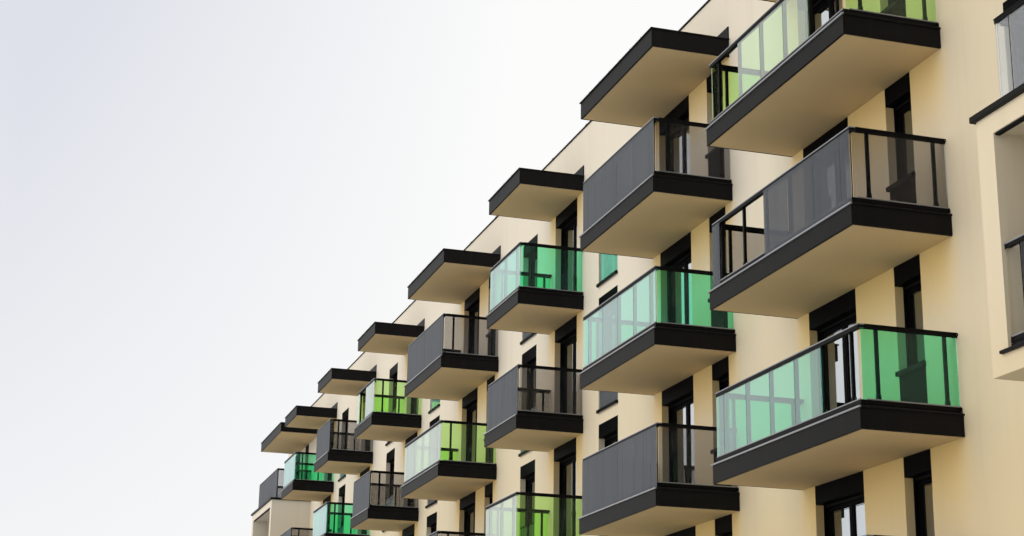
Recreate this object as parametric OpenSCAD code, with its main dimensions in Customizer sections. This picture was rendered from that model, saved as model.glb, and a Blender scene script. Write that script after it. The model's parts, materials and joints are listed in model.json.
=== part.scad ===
// Apartment block with stacked glass balconies, as a model at half its real size.
// Lengths are millimetres. X runs along the street front, towards the near end.
// Y runs from the street front to the back, and Z runs up from the ground.
// Columns of balconies are counted from the near end, storeys from the ground floor.

/* [Storeys] */
// Number of storeys, with the ground floor
storey_count = 5; // [5:1:8]
// Height from one floor to the next
storey_h = 1450; // [1350:10:1700]
// Thickness of the ground floor slab, which stands on the ground
plinth_h = 80; // [50:5:300]
// Thickness of the floors and of the balcony slabs
slab_t = 140; // [110:5:150]
// Depth of the block from the street front to the back
block_d = 6500; // [5000:50:9000]
// Thickness of the outer walls
wall_t = 225; // [180:5:300]
// Height of the parapet above the roof slab
parapet_h = 640; // [400:10:800]
// Thickness of the metal coping on the parapet
coping_t = 20; // [10:1:40]
// How far the coping projects past the wall on each side
coping_lip = 15; // [5:1:40]

/* [Columns along the front] */
// Wall between each end of the block and its loggia box
end_margin = 500; // [200:10:1500]
// Length of a loggia box
bay_w = 2500; // [2300:10:3500]
// Length of a wide balcony
wide_w = 2450; // [2300:10:3000]
// Length of a medium balcony
medium_w = 2000; // [1950:10:2250]
// Length of a narrow balcony
narrow_w = 1250; // [1100:10:1800]
// Wall between the near loggia box and the first balcony
near_gap = 1600; // [1300:5:2500]
// Wall between the wide balcony and its medium neighbour
blank_gap = 1225; // [300:5:2500]
// Wall between balconies that holds a French window
window_gap = 2125; // [1300:5:3000]
// Wall between the last balcony and the far loggia box
far_gap = 1100; // [600:5:2500]

/* [Openings] */
// Width of a balcony door opening
door_w = 800; // [600:10:900]
// Distance from the far side of a balcony to its door
door_off = 210; // [100:5:240]
// Width of a narrow window beside a door
slot_w = 380; // [250:5:420]
// Wall between door and narrow window on a wide balcony or a loggia
wide_pier = 600; // [300:5:700]
// Wall between door and narrow window on a medium balcony
medium_pier = 440; // [250:5:450]
// Height of the panel under a narrow window
panel_h = 475; // [300:5:700]
// Width of a French window
french_w = 600; // [450:5:700]
// Distance from a French window to the balcony beside it
french_off = 500; // [200:5:600]
// Distance from the near loggia box to the French window beside it
near_french_off = 200; // [100:5:600]
// Height of the roller shutter box over each opening
shutter_h = 150; // [100:5:200]
// Depth from the wall face to the window frames
reveal_d = 100; // [60:5:110]
// Depth of a window frame
frame_d = 40; // [25:1:50]
// Width of the bars of a window frame
frame_w = 40; // [25:1:60]
// Thickness of the window panes
pane_t = 12; // [6:1:16]
// Thickness of a window sill
sill_t = 20; // [10:1:40]
// How far a sill projects past the wall
sill_lip = 25; // [10:1:60]

/* [Balconies] */
// How far a balcony projects from the wall
balcony_d = 800; // [650:10:1200]
// Height of the dark edge of a balcony
fascia_h = 160; // [155:1:220]
// Thickness of the dark edges
fascia_t = 20; // [8:1:40]
// Height of the handrail's top above the floor
rail_h = 600; // [500:5:700]
// Height of the handrail bar
handrail_h = 24; // [15:1:50]
// Width of the handrail bar and the bottom rail
handrail_w = 46; // [44:1:80]
// Height of the bottom rail above the floor
bottom_rail_h = 70; // [20:1:80]
// Distance from the dark edge's inner face to the rails
rail_inset = 5; // [0:1:60]
// Side of a square post
post_s = 24; // [15:1:28]
// Distance from a corner to the first post
corner_step = 150; // [60:5:200]
// Distance from the wall to a side post
wall_step = 90; // [40:5:150]
// Largest wanted distance between posts
post_pitch = 435; // [300:5:600]
// Height of the glass guard in front of a French window
guard_h = 550; // [450:5:600]
// Distance from the wall face to the glass guard
guard_in = 10; // [0:1:25]
// Side of the rail on top of a glass guard
guard_s = 20; // [14:1:30]
// Thickness of the balcony glass
glass_t = 8; // [5:1:12]
// Gap between two sheets of balcony glass
glass_gap = 8; // [3:1:15]

/* [Canopies] */
// Distance from the last balcony to the canopy over the far terrace
far_canopy_gap = 475; // [200:5:1000]
// Height of the dark edge of a canopy
canopy_h = 176; // [150:5:260]
// Thickness of the sheet on a canopy
sheet_t = 14; // [6:1:30]
// How far the sheet drips past the canopy's edge
sheet_lip = 12; // [4:1:30]
// Height of the flashing where a canopy meets the wall
flashing_h = 130; // [60:5:200]
// Thickness of the flashing
flashing_t = 12; // [6:1:30]

/* [Loggia boxes] */
// Storey of the near loggia box
near_bay_storey = 2; // [1:1:2]
// Storey of the far loggia box
far_bay_storey = 3; // [1:1:3]
// Thickness of a loggia box's side walls
bay_wall_t = 175; // [100:5:250]
// How far a box's opening reaches above the ceilings inside the block
bay_head_up = 30; // [0:5:60]
// Thickness of a loggia box's roof
bay_roof_t = 130; // [100:5:200]
// Thickness of the dark cap on a loggia box
cap_t = 40; // [20:1:60]
// How far the cap projects
cap_lip = 30; // [10:1:100]
// How far the sill under the opening reaches past each side of it
bay_sill_ear = 60; // [0:5:90]
// Distance from the box's outer faces to the terrace rail
terrace_inset = 105; // [60:5:300]
// Height of the terrace handrail above the cap
terrace_rail_h = 620; // [500:10:700]
// Distance from the box's front face to the rail inside its opening
loggia_inset = 20; // [5:5:200]
// Height of that rail above the box's floor
loggia_rail_h = 640; // [500:10:700]

/* [Back] */
// Number of window columns at the back
back_columns = 16; // [8:1:18]
// Window columns from one entrance to the next
entrance_pitch = 5; // [3:1:8]
// Window columns between the near end and the first entrance
first_entrance = 2; // [0:1:6]
// Width of a back window
back_w = 600; // [450:5:900]
// Width of an entrance door
entrance_w = 900; // [800:10:1100]
// How far an entrance canopy projects
porch_d = 600; // [300:10:1200]
// Thickness of an entrance canopy
porch_t = 60; // [30:1:100]
// Thickness of an entrance door
entrance_t = 40; // [25:1:60]

/* [Hidden] */

// Columns from the near end: a loggia box, seven balconies and a loggia box
kinds = ["bay", "wide", "medium", "narrow", "medium", "narrow", "narrow", "narrow", "bay"];
gaps = [
    near_gap, blank_gap, window_gap, window_gap, window_gap, window_gap, window_gap, far_gap
];
// Side of each gap that its French window keeps to
french_sides = ["near", "none", "far", "near", "far", "near", "far", "none"];
last_col = len(kinds) - 1;
// Balcony glass takes these colours in turn, one storey higher from each column to the next
glass_cycle = ["grey", "green", "grey", "lime"];
// Glass that is missing, as column, level and sheet counted from the far corner
missing = [
    [1, 4, 0], [1, 4, 1], [1, 4, 5], [1, 4, 6], [1, 3, 1], [1, 3, 2], [1, 2, 5], [1, 2, 6],
    [5, 4, 1]
];
// How far a cut runs past the faces that it goes through
cut = 1;

black = [0.10, 0.10, 0.12];
plaster = [0.86, 0.79, 0.66];
soffit = [0.64, 0.56, 0.43];
clear = [0.60, 0.72, 0.80, 0.5];
levels = [for (n = [0 : storey_count - 1]) n];
front_y = -block_d / 2;
back_y = block_d / 2;
eaves_z = plinth_h + storey_count * storey_h;
parapet_z = eaves_z + parapet_h;
edge_y = front_y - balcony_d;
// Step inwards from a rail's outer face to the glass, and from the glass to the post
glass_step = (handrail_w - post_s - glass_t) / 3;

function sum_to(list, n) = n <= 0 ? 0 : list[n - 1] + sum_to(list, n - 1);
function width_of(kind) =
    kind == "bay" ? bay_w : kind == "wide" ? wide_w : kind == "medium" ? medium_w : narrow_w;
widths = [for (k = kinds) width_of(k)];
total_l = 2 * end_margin + sum_to(widths, len(widths)) + sum_to(gaps, len(gaps));
half_l = total_l / 2;
// Near and far side of a column
function near_x(c) = half_l - end_margin - sum_to(widths, c) - sum_to(gaps, c);
function far_x(c) = near_x(c) - widths[c];
function floor_z(n) = plinth_h + n * storey_h;
function soffit_z(n) = floor_z(n) - slab_t;
function head_z(n) = soffit_z(n + 1);
function cycled(list, i) = list[((i % len(list)) + len(list)) % len(list)];
function bay_level(c) = c == 0 ? near_bay_storey : far_bay_storey;
function has_balcony(c, n) =
    kinds[c] == "bay" ? (c == 0 && n > near_bay_storey + 1) : n > 0;
function has_floor_outside(c, n) =
    has_balcony(c, n) || (kinds[c] == "bay" && (n == bay_level(c) || n == bay_level(c) + 1));
function glass_of(c, n) = cycled(glass_cycle, n - c);
function french_step(g) = g == 0 ? near_french_off : french_off;
function french_x(g) =
    french_sides[g] == "near" ? far_x(g) - french_step(g) - french_w : near_x(g + 1) + french_step(g);
function door_x(c) = far_x(c) + door_off;
function has_slot(c) = kinds[c] != "narrow";
function pier_of(c) = kinds[c] == "medium" ? medium_pier : wide_pier;
function slot_x(c) = door_x(c) + door_w + pier_of(c);
function is_missing(c, n, i) = len([for (m = missing) if (m == [c, n, i]) 1]) > 0;
balcony_cols = [for (c = [0 : last_col]) if (kinds[c] != "bay" || c == 0) c];
// The canopy over the far terrace begins short of its box
far_canopy_x = far_x(last_col - 1) - far_canopy_gap;
function canopy_x0(c) = c == last_col ? far_canopy_x - wide_w : far_x(c);
function canopy_x1(c) = c == last_col ? far_canopy_x : near_x(c);
back_pitch = total_l / back_columns;
function back_x(i) = half_l - (i + 0.5) * back_pitch;
function is_entrance(i) = i >= first_entrance && (i - first_entrance) % entrance_pitch == 0;

// Box between two corners, given as ranges along X, Y and Z
module block(x, y, z) {
    translate([x[0], y[0], z[0]])
        cube([x[1] - x[0], y[1] - y[0], z[1] - z[0]]);
}

// Openings of the front: left side, storey and column or gap
cols = [for (c = [0 : last_col]) c];
french_gaps = [for (g = [0 : last_col - 1]) if (french_sides[g] != "none") g];
doors = [for (n = levels, c = cols) [door_x(c), n, c]];
slots = [for (n = levels, c = cols) if (has_slot(c)) [slot_x(c), n, c]];
frenches = [for (n = levels, g = french_gaps) [french_x(g), n, g]];
// Doors with no floor outside get the glass guard of a French window
guarded = [for (d = doors) if (!has_floor_outside(d[2], d[1])) d];
stepped = [for (d = doors) if (has_floor_outside(d[2], d[1])) d];
balconies = [for (n = levels, c = balcony_cols) if (has_balcony(c, n)) [c, n]];
bays = [for (c = cols) if (kinds[c] == "bay") [c, bay_level(c)]];
back_windows = [
    for (n = levels, i = [0 : back_columns - 1])
        if (n > 0 || !is_entrance(i)) [back_x(i) - back_w / 2, n]
];
entrances = [for (i = [0 : back_columns - 1]) if (is_entrance(i)) back_x(i) - entrance_w / 2];

// Rail lines of a balcony, as outer faces
function rail_x0(c) = far_x(c) + fascia_t + rail_inset;
function rail_x1(c) = near_x(c) - fascia_t - rail_inset;
rail_y = edge_y + fascia_t + rail_inset;
terrace_y = edge_y + terrace_inset;
loggia_y = edge_y + loggia_inset;
function bay_head(c) = soffit_z(bay_level(c) + 1) + bay_head_up;
function cap_z(c) = bay_head(c) + bay_roof_t;
function cap_top(c) = cap_z(c) + cap_t;
function loggia_top(c) = floor_z(bay_level(c)) + loggia_rail_h;
function loggia_hand(c) = loggia_top(c) - handrail_h;
function terrace_top(c) = cap_top(c) + terrace_rail_h;
function terrace_hand(c) = terrace_top(c) - handrail_h;
function guard_glass(n, g) = (n + g) % 2 == 0 ? "green" : "grey";
function bay_glass(c) = c == 0 ? "pale" : "grey";
// Post centres between two corners, no further apart than the wanted pitch allows
function post_bays(len_x) = max(1, round((len_x - 2 * corner_step) / post_pitch));
function posts(x0, x1) =
    [for (i = [0 : post_bays(x1 - x0)])
        x0 + corner_step + i * (x1 - x0 - 2 * corner_step) / post_bays(x1 - x0)];
// Joints of the glass sheets: the two ends and every post
function joints(x0, x1) = concat([x0], posts(x0, x1), [x1]);

// Walls with the openings cut through them
module front_hole(o, w) {
    block([o[0], o[0] + w], [front_y - cut, front_y + wall_t + cut],
        [floor_z(o[1]), head_z(o[1])]);
}

module back_hole(x, w, n) {
    block([x, x + w], [back_y - wall_t - cut, back_y + cut], [floor_z(n), head_z(n)]);
}

module front_wall() {
    color(plaster)
        difference() {
            block([-half_l, half_l], [front_y, front_y + wall_t], [0, parapet_z]);
            for (o = doors) front_hole(o, door_w);
            for (o = slots) front_hole(o, slot_w);
            for (o = frenches) front_hole(o, french_w);
        }
}

module back_wall() {
    color(plaster)
        difference() {
            block([-half_l, half_l], [back_y - wall_t, back_y], [0, parapet_z]);
            for (o = back_windows) back_hole(o[0], back_w, o[1]);
            for (x = entrances) back_hole(x, entrance_w, 0);
        }
}

module end_wall(x) {
    color(plaster)
        block([x, x + wall_t], [front_y + wall_t, back_y - wall_t], [0, parapet_z]);
}

module near_end_wall() {
    end_wall(half_l - wall_t);
}

module far_end_wall() {
    end_wall(-half_l);
}

// Floors fill the space between the walls
module inner_slab(z0, z1) {
    color("silver")
        block([wall_t - half_l, half_l - wall_t], [front_y + wall_t, back_y - wall_t], [z0, z1]);
}

module plinth_slab() {
    inner_slab(0, plinth_h);
}

module floor_slabs() {
    for (n = [1 : storey_count - 1]) inner_slab(soffit_z(n), floor_z(n));
}

module roof_slab() {
    inner_slab(eaves_z - slab_t, eaves_z);
}

// Metal coping on the parapets
module long_coping(y) {
    color(black)
        block([-half_l - coping_lip, half_l + coping_lip],
            [y - coping_lip, y + wall_t + coping_lip], [parapet_z, parapet_z + coping_t]);
}

module front_coping() {
    long_coping(front_y);
}

module back_coping() {
    long_coping(back_y - wall_t);
}

module end_copings() {
    for (x = [-half_l, half_l - wall_t])
        color(black)
            block([x - coping_lip, x + wall_t + coping_lip],
                [front_y + wall_t + coping_lip, back_y - wall_t - coping_lip],
                [parapet_z, parapet_z + coping_t]);
}

// Slabs that hang out over the street, each inside its dark edge
module hung_slab(x0, x1, z, h) {
    color(soffit)
        block([x0 + fascia_t, x1 - fascia_t], [edge_y + fascia_t, front_y], [z, z + h]);
}

module balcony_slabs() {
    for (b = balconies) hung_slab(far_x(b[0]), near_x(b[0]), soffit_z(b[1]), slab_t);
}

module canopy_slabs() {
    for (c = cols) hung_slab(canopy_x0(c), canopy_x1(c), eaves_z - slab_t, canopy_h);
}

module front_fascia(x0, x1, z, h) {
    color(black)
        block([x0, x1], [edge_y, edge_y + fascia_t], [z, z + h]);
}

module side_fascia_pair(x0, x1, z, h) {
    for (x = [x0, x1 - fascia_t])
        color(black)
            block([x, x + fascia_t], [edge_y + fascia_t, front_y], [z, z + h]);
}

module front_fascias() {
    for (b = balconies) front_fascia(far_x(b[0]), near_x(b[0]), soffit_z(b[1]), fascia_h);
    for (c = cols) front_fascia(canopy_x0(c), canopy_x1(c), eaves_z - slab_t, canopy_h);
}

module side_fascias() {
    for (b = balconies) side_fascia_pair(far_x(b[0]), near_x(b[0]), soffit_z(b[1]), fascia_h);
    for (c = cols) side_fascia_pair(canopy_x0(c), canopy_x1(c), eaves_z - slab_t, canopy_h);
}

sheet_z = eaves_z - slab_t + canopy_h;

module canopy_sheets() {
    for (c = cols)
        color(black)
            block([canopy_x0(c) - sheet_lip, canopy_x1(c) + sheet_lip],
                [edge_y - sheet_lip, front_y], [sheet_z, sheet_z + sheet_t]);
}

module canopy_flashings() {
    for (c = cols)
        color(black)
            block([canopy_x0(c), canopy_x1(c)], [front_y - flashing_t, front_y],
                [sheet_z + sheet_t, sheet_z + sheet_t + flashing_h]);
}

// Rails of the balconies, the terraces and the loggias
module front_rail(x0, x1, y, z0, z1) {
    color(black)
        block([x0, x1], [y, y + handrail_w], [z0, z1]);
}

module side_rail_pair(x0, x1, y, z0, z1) {
    for (x = [x0, x1 - handrail_w])
        color(black)
            block([x, x + handrail_w], [y + handrail_w, front_y], [z0, z1]);
}

function rail_top(n) = floor_z(n) + rail_h;
function hand_z(n) = rail_top(n) - handrail_h;
function foot_z(n) = floor_z(n) + bottom_rail_h;
function terrace_x0(c) = far_x(c) + terrace_inset;
function terrace_x1(c) = near_x(c) - terrace_inset;
function loggia_x0(c) = far_x(c) + bay_wall_t;
function loggia_x1(c) = near_x(c) - bay_wall_t;

module front_bottom_rails() {
    for (b = balconies)
        front_rail(rail_x0(b[0]), rail_x1(b[0]), rail_y, floor_z(b[1]), foot_z(b[1]));
    for (b = bays)
        front_rail(loggia_x0(b[0]), loggia_x1(b[0]), loggia_y, floor_z(b[1]), foot_z(b[1]));
}

module side_bottom_rails() {
    for (b = balconies)
        side_rail_pair(rail_x0(b[0]), rail_x1(b[0]), rail_y, floor_z(b[1]), foot_z(b[1]));
}

module front_handrails() {
    for (b = balconies)
        front_rail(rail_x0(b[0]), rail_x1(b[0]), rail_y, hand_z(b[1]), rail_top(b[1]));
    for (b = bays) {
        front_rail(loggia_x0(b[0]), loggia_x1(b[0]), loggia_y, loggia_hand(b[0]), loggia_top(b[0]));
        front_rail(terrace_x0(b[0]), terrace_x1(b[0]), terrace_y,
            terrace_hand(b[0]), terrace_top(b[0]));
    }
}

module side_handrails() {
    for (b = balconies)
        side_rail_pair(rail_x0(b[0]), rail_x1(b[0]), rail_y, hand_z(b[1]), rail_top(b[1]));
    for (b = bays)
        side_rail_pair(terrace_x0(b[0]), terrace_x1(b[0]), terrace_y,
            terrace_hand(b[0]), terrace_top(b[0]));
}

// Square posts behind the glass
module front_posts(x0, x1, y, z0, z1) {
    for (x = posts(x0, x1))
        color(black)
            block([x - post_s / 2, x + post_s / 2],
                [y + 2 * glass_step + glass_t, y + 2 * glass_step + glass_t + post_s], [z0, z1]);
}

module side_posts(x0, x1, y, z0, z1) {
    in = 2 * glass_step + glass_t;
    for (x = [x0 + in, x1 - in - post_s], py = [y + corner_step, front_y - wall_step])
        color(black)
            block([x, x + post_s], [py - post_s / 2, py + post_s / 2], [z0, z1]);
}

module railing_posts() {
    for (b = balconies) {
        front_posts(rail_x0(b[0]), rail_x1(b[0]), rail_y, foot_z(b[1]), hand_z(b[1]));
        side_posts(rail_x0(b[0]), rail_x1(b[0]), rail_y, foot_z(b[1]), hand_z(b[1]));
    }
    for (b = bays) {
        front_posts(loggia_x0(b[0]), loggia_x1(b[0]), loggia_y, foot_z(b[1]), loggia_hand(b[0]));
        front_posts(terrace_x0(b[0]), terrace_x1(b[0]), terrace_y, cap_top(b[0]), terrace_hand(b[0]));
        side_posts(terrace_x0(b[0]), terrace_x1(b[0]), terrace_y, cap_top(b[0]), terrace_hand(b[0]));
    }
}

// Glass sheets along a front rail, with a joint at every post
module front_sheets(x0, x1, y, z0, z1, c, n) {
    ends = joints(x0, x1);
    for (i = [0 : len(ends) - 2])
        if (!is_missing(c, n, i))
            block([ends[i] + glass_gap / 2, ends[i + 1] - glass_gap / 2],
                [y + glass_step, y + glass_step + glass_t], [z0, z1]);
}

module side_sheets(x0, x1, y, z0, z1) {
    for (x = [x0 + glass_step, x1 - glass_step - glass_t])
        block([x, x + glass_t], [y + glass_step + glass_t + glass_gap, front_y - glass_gap], [z0, z1]);
}

module coloured_glass(name) {
    for (b = balconies)
        if (glass_of(b[0], b[1]) == name) {
            front_sheets(rail_x0(b[0]), rail_x1(b[0]), rail_y,
                foot_z(b[1]), hand_z(b[1]), b[0], b[1]);
            side_sheets(rail_x0(b[0]), rail_x1(b[0]), rail_y, foot_z(b[1]), hand_z(b[1]));
        }
    for (b = bays)
        if (bay_glass(b[0]) == name) {
            front_sheets(loggia_x0(b[0]), loggia_x1(b[0]), loggia_y,
                foot_z(b[1]), loggia_hand(b[0]), b[0], b[1]);
            front_sheets(terrace_x0(b[0]), terrace_x1(b[0]), terrace_y,
                cap_top(b[0]), terrace_hand(b[0]), b[0], b[1] + 1);
            side_sheets(terrace_x0(b[0]), terrace_x1(b[0]), terrace_y,
                cap_top(b[0]), terrace_hand(b[0]));
        }
    for (o = frenches)
        if (guard_glass(o[1], o[2]) == name) guard_sheet(o, french_w);
    for (o = guarded)
        if (guard_glass(o[1], o[2]) == name) guard_sheet(o, door_w);
    if (name == "grey")
        for (o = back_windows) back_guard_sheet(o);
}

// Glass guard that stands on the sill, between the sides of the opening
module guard_sheet(o, w) {
    block([o[0], o[0] + w],
        [front_y + guard_in + (guard_s - glass_t) / 2, front_y + guard_in + (guard_s + glass_t) / 2],
        [floor_z(o[1]) + sill_t, floor_z(o[1]) + guard_h - guard_s]);
}

module back_guard_sheet(o) {
    block([o[0], o[0] + back_w],
        [back_y - guard_in - (guard_s + glass_t) / 2, back_y - guard_in - (guard_s - glass_t) / 2],
        [floor_z(o[1]) + sill_t, floor_z(o[1]) + guard_h - guard_s]);
}

module green_glass() {
    color([0.25, 0.75, 0.45, 0.6])
        coloured_glass("green");
}

module lime_glass() {
    color([0.70, 0.85, 0.30, 0.6])
        coloured_glass("lime");
}

module grey_glass() {
    color([0.35, 0.36, 0.40, 0.7])
        coloured_glass("grey");
}

module pale_glass() {
    color(clear)
        coloured_glass("pale");
}

module french_window_rails() {
    color(black) {
        for (o = frenches) guard_rail(o, french_w);
        for (o = guarded) guard_rail(o, door_w);
        for (o = back_windows)
            block([o[0], o[0] + back_w], [back_y - guard_in - guard_s, back_y - guard_in],
                [floor_z(o[1]) + guard_h - guard_s, floor_z(o[1]) + guard_h]);
    }
}

module guard_rail(o, w) {
    block([o[0], o[0] + w], [front_y + guard_in, front_y + guard_in + guard_s],
        [floor_z(o[1]) + guard_h - guard_s, floor_z(o[1]) + guard_h]);
}

// Loggia boxes, with the front left open
module loggia_floors() {
    for (b = bays)
        color(plaster)
            block([far_x(b[0]), near_x(b[0])], [edge_y, front_y], [soffit_z(b[1]), floor_z(b[1])]);
}

module loggia_side_walls() {
    for (b = bays, x = [far_x(b[0]), near_x(b[0]) - bay_wall_t])
        color(plaster)
            block([x, x + bay_wall_t], [edge_y, front_y], [floor_z(b[1]), bay_head(b[0])]);
}

module loggia_roofs() {
    for (b = bays)
        color(plaster)
            block([far_x(b[0]), near_x(b[0])], [edge_y, front_y], [bay_head(b[0]), cap_z(b[0])]);
}

module loggia_caps() {
    for (b = bays)
        color(black)
            block([far_x(b[0]) - cap_lip, near_x(b[0]) + cap_lip], [edge_y - cap_lip, front_y],
                [cap_z(b[0]), cap_top(b[0])]);
}

module loggia_sills() {
    for (b = bays)
        color(black)
            block([loggia_x0(b[0]) - bay_sill_ear, loggia_x1(b[0]) + bay_sill_ear],
                [edge_y - sill_lip, edge_y], [floor_z(b[1]) - sill_t, floor_z(b[1])]);
}

// Leaves of a window or a door
single = 1;
pair = 2;

// Window frame with upright bars, and the panes between the bars
function bar_x(x, w, leaves, i) = x + i * (w - frame_w) / leaves;

module window_frame(x, w, y, z0, z1, leaves) {
    color(black)
        difference() {
            block([x, x + w], [y, y + frame_d], [z0, z1]);
            for (i = [0 : leaves - 1])
                block([bar_x(x, w, leaves, i) + frame_w, bar_x(x, w, leaves, i + 1)],
                    [y - cut, y + frame_d + cut], [z0 + frame_w, z1 - frame_w]);
        }
}

module window_panes(x, w, y, z0, z1, leaves) {
    for (i = [0 : leaves - 1])
        color(clear)
            block([bar_x(x, w, leaves, i) + frame_w, bar_x(x, w, leaves, i + 1)],
                [y + (frame_d - pane_t) / 2, y + (frame_d + pane_t) / 2], [z0 + frame_w, z1 - frame_w]);
}

frame_y = front_y + reveal_d;
back_frame_y = back_y - reveal_d - frame_d;
function frame_top(n) = head_z(n) - shutter_h;
function sill_top(n) = floor_z(n) + sill_t;
function slot_foot(n) = floor_z(n) + panel_h + sill_t;

module balcony_door_frames() {
    for (o = stepped) window_frame(o[0], door_w, frame_y, floor_z(o[1]), frame_top(o[1]), pair);
    for (o = guarded) window_frame(o[0], door_w, frame_y, sill_top(o[1]), frame_top(o[1]), pair);
}

module narrow_window_frames() {
    for (o = slots) window_frame(o[0], slot_w, frame_y, slot_foot(o[1]), frame_top(o[1]), single);
}

module french_window_frames() {
    for (o = frenches) window_frame(o[0], french_w, frame_y, sill_top(o[1]), frame_top(o[1]), pair);
}

module front_window_panes() {
    for (o = stepped) window_panes(o[0], door_w, frame_y, floor_z(o[1]), frame_top(o[1]), pair);
    for (o = guarded) window_panes(o[0], door_w, frame_y, sill_top(o[1]), frame_top(o[1]), pair);
    for (o = slots) window_panes(o[0], slot_w, frame_y, slot_foot(o[1]), frame_top(o[1]), single);
    for (o = frenches) window_panes(o[0], french_w, frame_y, sill_top(o[1]), frame_top(o[1]), pair);
}

module back_window_frames() {
    for (o = back_windows)
        window_frame(o[0], back_w, back_frame_y, sill_top(o[1]), frame_top(o[1]), pair);
}

module back_window_panes() {
    for (o = back_windows)
        window_panes(o[0], back_w, back_frame_y, sill_top(o[1]), frame_top(o[1]), pair);
}

module front_box(o, w) {
    block([o[0], o[0] + w], [front_y, frame_y + frame_d], [frame_top(o[1]), head_z(o[1])]);
}

module shutter_boxes() {
    color(black) {
        for (o = doors) front_box(o, door_w);
        for (o = slots) front_box(o, slot_w);
        for (o = frenches) front_box(o, french_w);
        for (o = back_windows)
            block([o[0], o[0] + back_w], [back_frame_y, back_y],
                [frame_top(o[1]), head_z(o[1])]);
    }
}

module front_sill(o, w, z) {
    block([o[0], o[0] + w], [front_y - sill_lip, frame_y + frame_d], [z, z + sill_t]);
}

module window_sills() {
    color(black) {
        for (o = guarded) front_sill(o, door_w, floor_z(o[1]));
        for (o = slots) front_sill(o, slot_w, floor_z(o[1]) + panel_h);
        for (o = frenches) front_sill(o, french_w, floor_z(o[1]));
        for (o = back_windows)
            block([o[0], o[0] + back_w], [back_frame_y, back_y + sill_lip],
                [floor_z(o[1]), sill_top(o[1])]);
    }
}

module under_window_panels() {
    for (o = slots)
        color(black)
            block([o[0], o[0] + slot_w], [front_y, frame_y + frame_d],
                [floor_z(o[1]), floor_z(o[1]) + panel_h]);
}

// Entrances at the back
module entrance_doors() {
    for (x = entrances)
        color(black)
            block([x, x + entrance_w], [back_y - reveal_d - entrance_t, back_y - reveal_d],
                [floor_z(0), head_z(0)]);
}

module entrance_canopies() {
    for (x = entrances)
        color(black)
            block([x, x + entrance_w], [back_y, back_y + porch_d], [head_z(0), head_z(0) + porch_t]);
}

plinth_slab();
front_wall();
back_wall();
near_end_wall();
far_end_wall();
floor_slabs();
roof_slab();
front_coping();
back_coping();
end_copings();
balcony_slabs();
canopy_slabs();
front_fascias();
side_fascias();
canopy_sheets();
canopy_flashings();
front_bottom_rails();
side_bottom_rails();
railing_posts();
front_handrails();
side_handrails();
green_glass();
lime_glass();
grey_glass();
pale_glass();
loggia_floors();
loggia_side_walls();
loggia_roofs();
loggia_caps();
loggia_sills();
balcony_door_frames();
narrow_window_frames();
french_window_frames();
front_window_panes();
back_window_frames();
back_window_panes();
shutter_boxes();
window_sills();
under_window_panels();
french_window_rails();
entrance_doors();
entrance_canopies();
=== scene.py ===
# %% [markdown]
# Apartment block with stacked glass balconies.
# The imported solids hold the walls, slabs, rails and windows at half the real size. This
# lesson dresses them: it lays out a finish for each surface and models the small parts
# that a builder would fit last, such as drip edges, screws, sashes and seams.

import json
import math
from collections import Counter
from functools import cache

import bmesh
import bpy
from mathutils import Matrix, Vector

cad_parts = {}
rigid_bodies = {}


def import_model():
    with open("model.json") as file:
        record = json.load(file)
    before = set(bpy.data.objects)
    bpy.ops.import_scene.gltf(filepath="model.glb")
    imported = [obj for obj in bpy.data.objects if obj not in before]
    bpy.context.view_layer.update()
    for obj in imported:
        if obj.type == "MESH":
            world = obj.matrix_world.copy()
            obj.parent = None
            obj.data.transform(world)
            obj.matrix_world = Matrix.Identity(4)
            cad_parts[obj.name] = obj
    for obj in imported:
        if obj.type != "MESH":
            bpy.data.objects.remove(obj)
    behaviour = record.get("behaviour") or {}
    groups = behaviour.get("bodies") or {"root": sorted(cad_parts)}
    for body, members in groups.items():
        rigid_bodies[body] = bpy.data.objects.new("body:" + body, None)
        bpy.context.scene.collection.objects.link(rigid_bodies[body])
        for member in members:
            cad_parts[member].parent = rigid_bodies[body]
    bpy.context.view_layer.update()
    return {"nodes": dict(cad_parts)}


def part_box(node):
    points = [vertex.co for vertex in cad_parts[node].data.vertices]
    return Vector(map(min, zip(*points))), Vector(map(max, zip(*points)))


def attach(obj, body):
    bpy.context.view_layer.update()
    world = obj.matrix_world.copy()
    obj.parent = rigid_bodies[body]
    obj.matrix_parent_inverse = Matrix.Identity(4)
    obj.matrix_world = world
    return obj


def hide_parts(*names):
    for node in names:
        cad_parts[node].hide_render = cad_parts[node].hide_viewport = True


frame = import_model()
nodes = frame["nodes"]

# %% [markdown]
# Every small part sits on a solid of the frame. A node such as the handrails holds many
# separate bars, so this helper finds each bar and gives its lowest and highest corner.
# The node's mesh is loose triangles. Merging their corners first makes the bars whole.
# Two more helpers round places to compare them, and put a new object into the scene.

# %% Find the separate solids of a node
MERGE = 1e-5


def merged_mesh(name):
    bm = bmesh.new()
    bm.from_mesh(nodes[name].data)
    bmesh.ops.remove_doubles(bm, verts=bm.verts, dist=MERGE)
    return bm


@cache
def solids(name):
    bm = merged_mesh(name)
    seen = set()
    found = []
    for start in bm.verts:
        if start in seen:
            continue
        seen.add(start)
        members = [start]
        for vert in members:
            for edge in vert.link_edges:
                other = edge.other_vert(vert)
                if other not in seen:
                    seen.add(other)
                    members.append(other)
        places = list(zip(*(vert.co for vert in members)))
        found.append((Vector(map(min, places)), Vector(map(max, places))))
    bm.free()
    found.sort(key=lambda box: [round(v, 4) for v in (*box[0], *box[1])])
    return found


def key(*values):
    return tuple(round(value, 3) for value in values)


def into_scene(name, data):
    thing = bpy.data.objects.new(name, data)
    bpy.context.scene.collection.objects.link(thing)
    return thing


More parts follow.
